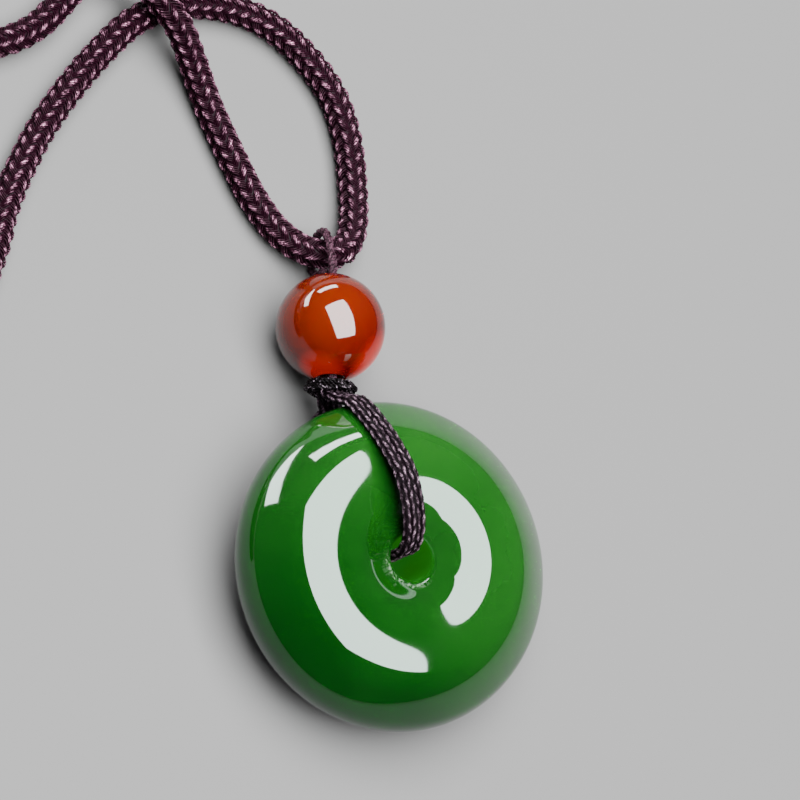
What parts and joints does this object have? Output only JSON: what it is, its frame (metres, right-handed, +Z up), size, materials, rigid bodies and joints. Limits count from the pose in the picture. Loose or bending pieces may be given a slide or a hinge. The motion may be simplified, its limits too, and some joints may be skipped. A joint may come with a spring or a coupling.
{
  "type": "jade peace buckle pendant",
  "caption": "Thick green jade peace buckle on a flat braided band, with a carnelian bead and a dark braided neck cord, laid down.",
  "frame": {"origin": "on the surface that the pendant lies on, under the middle of the pendant without its neck cord", "axes": "+Z up from the surface, +Y from the buckle towards the bead and the neck cord"},
  "size_m": [0.0824, 0.0784, 0.0142],
  "materials": {
    "jade": "polished",
    "carnelian": "polished",
    "band": "braided",
    "thread": "wound",
    "cord": "braided"
  },
  "bodies": {
    "root": {"jade_buckle": "jade", "carnelian_bead": "carnelian", "bail_band": "band", "bail_binding": "thread", "bead_loop": "thread", "neck_cord": "cord", "neck_cord_coil": "cord"}
  },
  "joints": []
}
